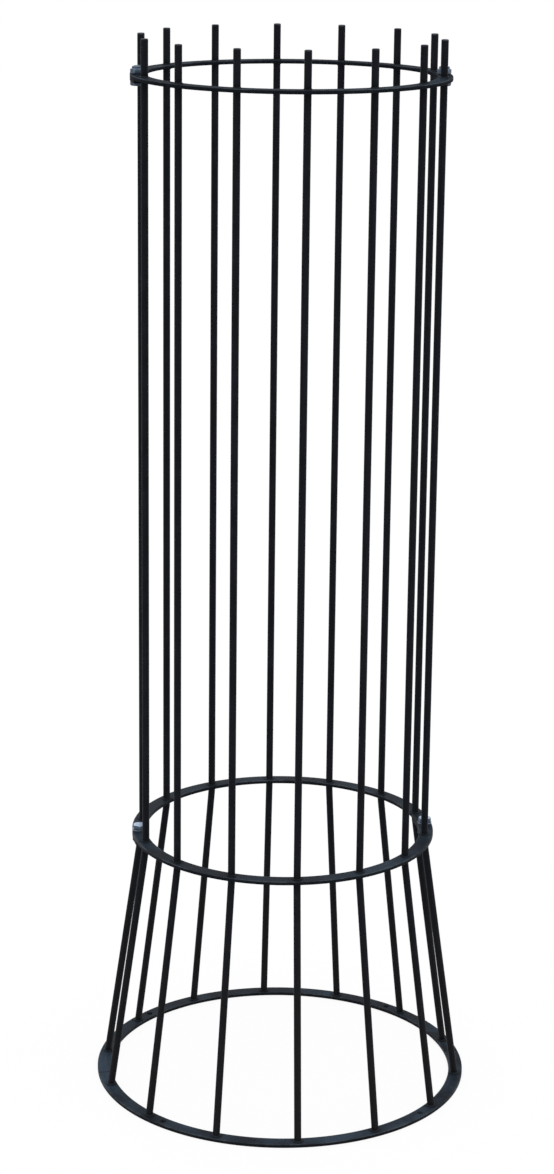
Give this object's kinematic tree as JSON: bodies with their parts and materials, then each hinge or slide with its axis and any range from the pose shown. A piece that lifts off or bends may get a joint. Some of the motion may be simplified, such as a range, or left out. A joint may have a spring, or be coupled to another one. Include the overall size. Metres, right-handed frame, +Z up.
{
  "type": "metal tree guard",
  "caption": "Tall open cage for a street tree: upright round bars through flat rings, cranked outward to a wider base ring, in bolted halves.",
  "frame": {"origin": "on the ground at the centre of the base ring", "axes": "+Z up along the trunk, -Y toward the front half, X through the bolted joints between the halves"},
  "size_m": [0.538, 0.538, 1.5],
  "materials": {
    "bars": "satin black powder coat over steel",
    "rings": "satin black powder coat over steel, slightly bluish where it faces up",
    "fasteners": "bright zinc plated"
  },
  "bodies": {
    "root": {"front_bar_1": "bars", "front_bar_2": "bars", "front_bar_3": "bars", "front_bar_4": "bars", "front_bar_5": "bars", "front_bar_6": "bars", "front_bar_7": "bars", "rear_bar_1": "bars", "rear_bar_2": "bars", "rear_bar_3": "bars", "rear_bar_4": "bars", "rear_bar_5": "bars", "rear_bar_6": "bars", "rear_bar_7": "bars", "front_top_ring": "rings", "rear_top_ring": "rings", "front_middle_ring": "rings", "rear_middle_ring": "rings", "front_base_ring": "rings", "rear_base_ring": "rings", "top_left_plate": "rings", "top_right_plate": "rings", "middle_left_plate": "rings", "middle_right_plate": "rings", "top_left_bolt": "fasteners", "top_right_bolt": "fasteners", "middle_left_bolt": "fasteners", "middle_right_bolt": "fasteners", "top_left_nut": "fasteners", "top_right_nut": "fasteners", "middle_left_nut": "fasteners", "middle_right_nut": "fasteners", "middle_left_washer": "fasteners", "middle_right_washer": "fasteners"}
  },
  "joints": []
}
